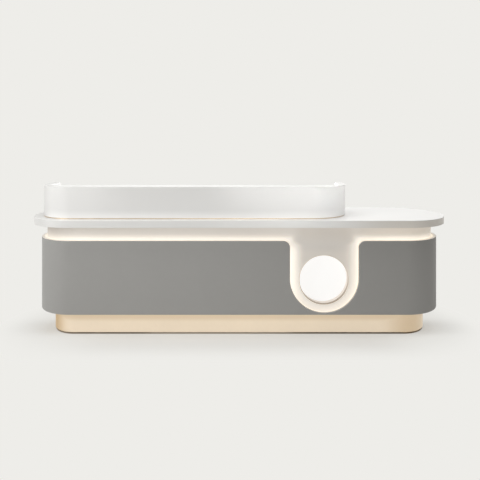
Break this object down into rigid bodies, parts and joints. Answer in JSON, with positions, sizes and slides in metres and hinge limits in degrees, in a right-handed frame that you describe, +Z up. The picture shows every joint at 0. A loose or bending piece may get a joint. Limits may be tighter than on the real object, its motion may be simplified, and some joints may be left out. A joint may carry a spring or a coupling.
{
  "type": "reception desk",
  "caption": "Long racetrack-plan reception desk: round-ended worktop with raised screen, grey shell with a lit U-shaped niche and round lamp, and staff-side drawers and cupboard.",
  "frame": {"origin": "on the floor, under the middle of the worktop's outline", "axes": "+X along the desk to the guest's right, -Y towards the guest, +Y towards the staff, +Z up"},
  "size_m": [2.8, 0.63, 0.975],
  "materials": {
    "white_lacquer": "satin white lacquer on board",
    "grey_paint": "satin mid-grey paint on board",
    "champagne_metal": "satin champagne-gold sheet",
    "carcass_board": "pale melamine board",
    "channel_aluminium": "anodised extrusion",
    "light_lens": "warm-white light strip lens",
    "opal_disc": "opal lit disc",
    "zinc_steel": "zinc-plated steel",
    "white_enamel": "white powder coat",
    "dark_plastic": "black moulded plastic",
    "grey_plastic": "pale grey moulded plastic",
    "circuit_board": "white solder mask"
  },
  "bodies": {
    "desk": {"cable_tray": "white_enamel", "cladding_battens": "carcass_board", "cladding_ends": "grey_paint", "cladding_front": "grey_paint", "cupboard_back": "carcass_board", "cupboard_shelf": "carcass_board", "cupboard_side": "carcass_board", "deck_left": "carcass_board", "deck_right": "carcass_board", "door_pivots": "zinc_steel", "drawer_runners": "zinc_steel", "front_sill": "carcass_board", "gable_left": "carcass_board", "gable_right": "carcass_board", "grommets": "grey_plastic", "hutch_dividers": "white_lacquer", "hutch_ledge": "white_lacquer", "hutch_trim": "champagne_metal", "hutch_wall": "white_lacquer", "lamp_bezel": "champagne_metal", "lamp_board": "circuit_board", "lamp_housing": "white_enamel", "lamp_opal": "opal_disc", "led_channel_ends": "channel_aluminium", "led_channel_front": "channel_aluminium", "led_driver": "grey_plastic", "led_lens_ends": "light_lens", "led_lens_front": "light_lens", "levelling_feet": "dark_plastic", "liner_ends": "white_lacquer", "liner_front": "white_lacquer", "pedestal_side": "carcass_board", "plinth_frame": "carcass_board", "plinth_skin_back": "champagne_metal", "plinth_skin_ends": "champagne_metal", "plinth_skin_front": "champagne_metal", "shelf_supports": "zinc_steel", "switch_housing": "dark_plastic", "top_rail": "carcass_board", "worktop": "white_lacquer", "worktop_brackets": "zinc_steel"},
    "top_drawer": {"drawer_top_front": "white_lacquer", "drawer_top_box": "carcass_board", "drawer_top_handle": "champagne_metal", "drawer_top_slides": "zinc_steel"},
    "middle_drawer": {"drawer_middle_front": "white_lacquer", "drawer_middle_box": "carcass_board", "drawer_middle_handle": "champagne_metal", "drawer_middle_slides": "zinc_steel"},
    "bottom_drawer": {"drawer_bottom_front": "white_lacquer", "drawer_bottom_box": "carcass_board", "drawer_bottom_handle": "champagne_metal", "drawer_bottom_slides": "zinc_steel"},
    "left_door": {"door_left": "white_lacquer", "door_left_handle": "champagne_metal"},
    "right_door": {"door_right": "white_lacquer", "door_right_handle": "champagne_metal"},
    "button": {"light_button": "grey_plastic"}
  },
  "joints": [
    {"name": "top_drawer_slide", "type": "slide", "parent": "desk", "child": "top_drawer", "axis": [0, 1, 0], "range_m": [0, 0.32]},
    {"name": "middle_drawer_slide", "type": "slide", "parent": "desk", "child": "middle_drawer", "axis": [0, 1, 0], "range_m": [0, 0.32]},
    {"name": "bottom_drawer_slide", "type": "slide", "parent": "desk", "child": "bottom_drawer", "axis": [0, 1, 0], "range_m": [0, 0.32]},
    {"name": "left_door_hinge", "type": "hinge", "parent": "desk", "child": "left_door", "pos_m": [0.391, 0.258, 0.4485], "axis": [0, 0, 1], "range_deg": [0, 105]},
    {"name": "right_door_hinge", "type": "hinge", "parent": "desk", "child": "right_door", "pos_m": [1.044, 0.258, 0.4485], "axis": [0, 0, -1], "range_deg": [0, 105]},
    {"name": "light_button_push", "type": "slide", "parent": "desk", "child": "button", "axis": [0, -1, 0], "range_m": [0, 0.003], "stiffness_N_per_m": 400}
  ]
}
